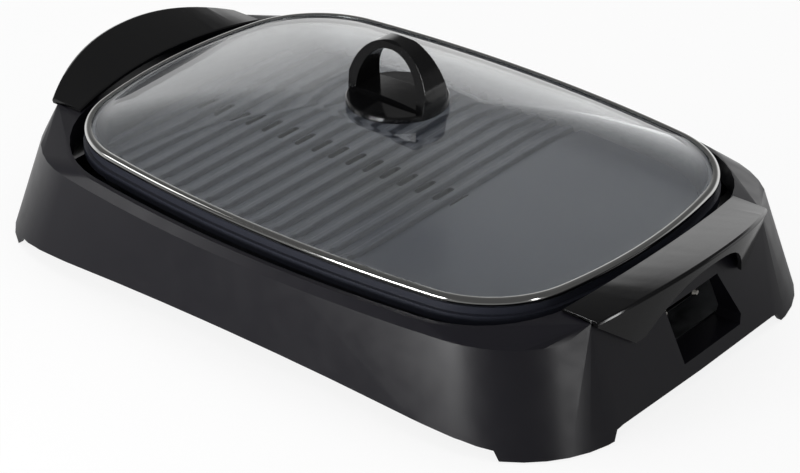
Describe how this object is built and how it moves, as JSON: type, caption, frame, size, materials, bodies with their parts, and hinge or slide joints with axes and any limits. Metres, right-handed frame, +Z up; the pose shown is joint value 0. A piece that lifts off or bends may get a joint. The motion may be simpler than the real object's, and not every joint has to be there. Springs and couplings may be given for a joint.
{
  "type": "electric indoor grill",
  "caption": "Oval electric grill: black housing on corner feet, cast ribbed plate with flat griddle, lift-off domed glass lid with loop knob, side grips and control socket.",
  "frame": {"origin": "centre of the footprint at table height", "axes": "+X along the long side towards the end with the control socket, -Y towards the long side seen in the picture, +Z up"},
  "size_m": [0.5116, 0.3338, 0.1625],
  "materials": {
    "black_housing": "satin black moulding",
    "black_gloss": "gloss black phenolic",
    "coated_cast": "non-stick coated casting",
    "rim_steel": "polished stainless",
    "glass": "clear tempered",
    "zinc_steel": "zinc plated",
    "tray_steel": "bright sheet",
    "screw_steel": "dark plated",
    "pin_steel": "nickel plated",
    "element_steel": "heat-browned",
    "brass": "plain",
    "ceramic": "glazed ceramic",
    "rubber": "black"
  },
  "bodies": {
    "base": {"housing": "black_housing", "bottom_sheet": "zinc_steel", "bottom_screws": "screw_steel", "rubber_feet": "rubber", "drip_tray": "tray_steel", "grip_left": "black_gloss", "grip_right": "black_gloss", "grip_screws": "screw_steel", "plate_brackets": "zinc_steel", "bracket_screws": "screw_steel"},
    "plate": {"grill_plate": "coated_cast", "heating_element": "element_steel", "terminal_pin_front": "pin_steel", "terminal_pin_back": "pin_steel", "ceramic_bushes": "ceramic", "terminal_guard": "zinc_steel", "guard_screws": "screw_steel", "feeler_sleeve": "pin_steel", "earth_tab": "brass"},
    "lid": {"lid_rim": "rim_steel", "rim_gasket": "rubber", "lid_glass": "glass", "knob": "black_gloss", "knob_insert": "brass", "knob_seal": "rubber", "inner_seal": "rubber", "steel_washer": "pin_steel", "knob_screw": "screw_steel"}
  },
  "joints": [
    {"name": "plate_tilt", "type": "hinge", "parent": "base", "child": "plate", "pos_m": [0.206, 0, 0.074], "axis": [0, 1, 0], "range_deg": [0, 12]},
    {"name": "lid_lift", "type": "slide", "parent": "plate", "child": "lid", "axis": [0, 0, 1], "range_m": [0, 0.15]}
  ]
}
